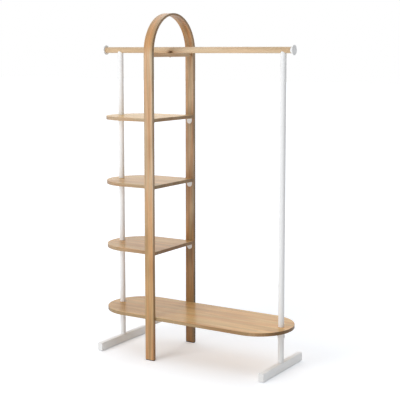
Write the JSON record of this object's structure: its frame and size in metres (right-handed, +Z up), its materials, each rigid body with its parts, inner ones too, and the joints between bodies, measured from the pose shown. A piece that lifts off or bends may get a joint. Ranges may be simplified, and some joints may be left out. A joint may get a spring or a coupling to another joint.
{
  "type": "coat stand",
  "caption": "Free-standing hall stand: a bent wooden arch holds side shelves, a long base shelf runs through it, and white posts on cross feet carry a round hanging rail.",
  "frame": {"origin": "on the floor, midway between the outer faces of the rail's two end discs and midway between the arch's two legs", "axes": "+Z up, +X along the rail from the arch's end towards the far post, +Y to the rear"},
  "size_m": [1.1092, 0.406, 1.75],
  "materials": {
    "oak": "pale oak under a matt clear lacquer",
    "beech": "bare turned dowels",
    "white_steel": "satin white powder coat",
    "white_plastic": "moulded, matt",
    "felt": "dark pressed felt",
    "zinc": "zinc plated",
    "brown_steel": "browned screw head"
  },
  "bodies": {
    "root": {"arch_frame": "oak", "upper_crossbar": "oak", "lower_crossbar": "white_steel", "hanging_rail": "oak", "base_shelf": "oak", "side_shelf_lower": "oak", "side_shelf_middle": "oak", "side_shelf_upper": "oak", "upper_crossbar_dowel_front": "beech", "upper_crossbar_dowel_rear": "beech", "lower_crossbar_plug_front": "zinc", "lower_crossbar_plug_rear": "zinc", "front_leg_pad": "felt", "rear_leg_pad": "felt", "rail_end_disc_left": "white_steel", "rail_end_disc_right": "white_steel", "lower_shelf_bracket_front": "white_steel", "lower_shelf_bracket_rear": "white_steel", "middle_shelf_bracket_front": "white_steel", "middle_shelf_bracket_rear": "white_steel", "upper_shelf_bracket_front": "white_steel", "upper_shelf_bracket_rear": "white_steel", "left_post_lower": "white_steel", "left_post_to_lower_shelf": "white_steel", "left_post_to_middle_shelf": "white_steel", "left_post_to_upper_shelf": "white_steel", "left_post_to_rail": "white_steel", "left_post_socket": "white_steel", "right_post_lower": "white_steel", "right_post_to_rail": "white_steel", "right_post_socket": "white_steel", "left_foot": "white_steel", "right_foot": "white_steel", "left_foot_cap_front": "white_plastic", "left_foot_cap_rear": "white_plastic", "right_foot_cap_front": "white_plastic", "right_foot_cap_rear": "white_plastic", "left_foot_glide_front": "white_plastic", "left_foot_glide_rear": "white_plastic", "right_foot_glide_front": "white_plastic", "right_foot_glide_rear": "white_plastic", "left_foot_bolt": "zinc", "right_foot_bolt": "zinc", "left_post_stud_base": "zinc", "left_post_stud_lower": "zinc", "left_post_stud_middle": "zinc", "left_post_stud_upper": "zinc", "right_post_stud_base": "zinc", "left_rail_bolt": "zinc", "right_rail_bolt": "zinc", "rail_screw": "brown_steel", "base_shelf_screw_front": "zinc", "base_shelf_screw_rear": "zinc", "lower_bracket_screw_front": "white_steel", "lower_bracket_screw_rear": "white_steel", "middle_bracket_screw_front": "white_steel", "middle_bracket_screw_rear": "white_steel", "upper_bracket_screw_front": "white_steel", "upper_bracket_screw_rear": "white_steel"}
  },
  "joints": []
}
